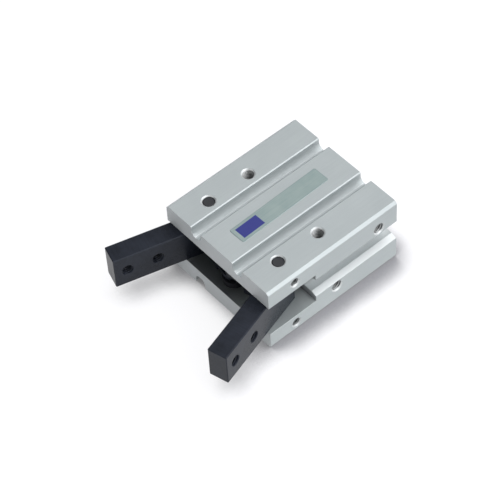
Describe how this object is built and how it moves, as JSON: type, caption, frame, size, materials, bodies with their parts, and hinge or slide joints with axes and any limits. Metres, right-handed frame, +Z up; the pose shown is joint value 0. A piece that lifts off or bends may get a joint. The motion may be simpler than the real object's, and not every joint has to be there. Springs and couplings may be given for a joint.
{
  "type": "two jaw angular pneumatic gripper",
  "caption": "Flat double-acting pneumatic gripper with angular jaws that a piston opens and closes together, with sensor grooves along its body.",
  "frame": {"origin": "centre of the body's underside, the flat mounting face", "axes": "+X across the body, +Y from the jaws to the rear, +Z up from the underside to the labelled top"},
  "size_m": [0.0642, 0.0846, 0.0302],
  "materials": {
    "anodised_body": "matt clear anodised, fine along-length extrusion lines",
    "blank_label": "satin metallised film, no print",
    "cover_metal": "turned, clear anodised",
    "rubber": "matt nitrile rubber",
    "spring_steel": "phosphated spring steel",
    "bronze": "sintered bronze",
    "dark_pin": "hardened, ground and blackened",
    "screw_black": "black oxide",
    "piston_metal": "turned",
    "wear_plastic": "acetal",
    "magnet": "sintered ferrite",
    "zinc_steel": "ground steel",
    "rod_chrome": "hard chromed and polished",
    "blackened_steel": "black oxide",
    "jaw_black": "black oxide, satin, with milling marks"
  },
  "bodies": {
    "housing": {"body": "anodised_body", "label_plate": "blank_label", "rear_cover": "cover_metal", "cover_o_ring": "rubber", "retaining_ring": "spring_steel", "rear_bumper": "rubber", "front_bumper": "rubber", "rod_bush": "bronze", "rod_seal": "rubber", "seal_retainer": "spring_steel", "left_pivot_pin": "dark_pin", "right_pivot_pin": "dark_pin", "left_set_screws": "screw_black", "right_set_screws": "screw_black"},
    "drive": {"piston": "piston_metal", "piston_wear_ring": "wear_plastic", "piston_seal": "rubber", "piston_magnet": "magnet", "magnet_clamp": "piston_metal", "piston_nut": "zinc_steel", "rod_o_ring": "rubber", "piston_rod": "rod_chrome", "crosshead": "blackened_steel", "drive_pin": "zinc_steel"},
    "left_jaw": {"left_jaw": "jaw_black"},
    "right_jaw": {"right_jaw": "jaw_black"}
  },
  "joints": [
    {"name": "piston_slide", "type": "slide", "parent": "housing", "child": "drive", "axis": [0, 1, 0], "range_m": [0, 0.00674]},
    {"name": "left_jaw_swing", "type": "hinge", "parent": "housing", "child": "left_jaw", "pos_m": [-0.018, -0.01746, 0.015], "axis": [0, 0, 1], "range_deg": [0, 21]},
    {"name": "right_jaw_swing", "type": "hinge", "parent": "housing", "child": "right_jaw", "pos_m": [0.018, -0.01746, 0.015], "axis": [0, 0, -1], "range_deg": [0, 21]}
  ],
  "couplings": [
    {"joint": "left_jaw_swing", "follows": "piston_slide", "rad_per_m": 54.385},
    {"joint": "right_jaw_swing", "follows": "piston_slide", "rad_per_m": 54.385}
  ]
}
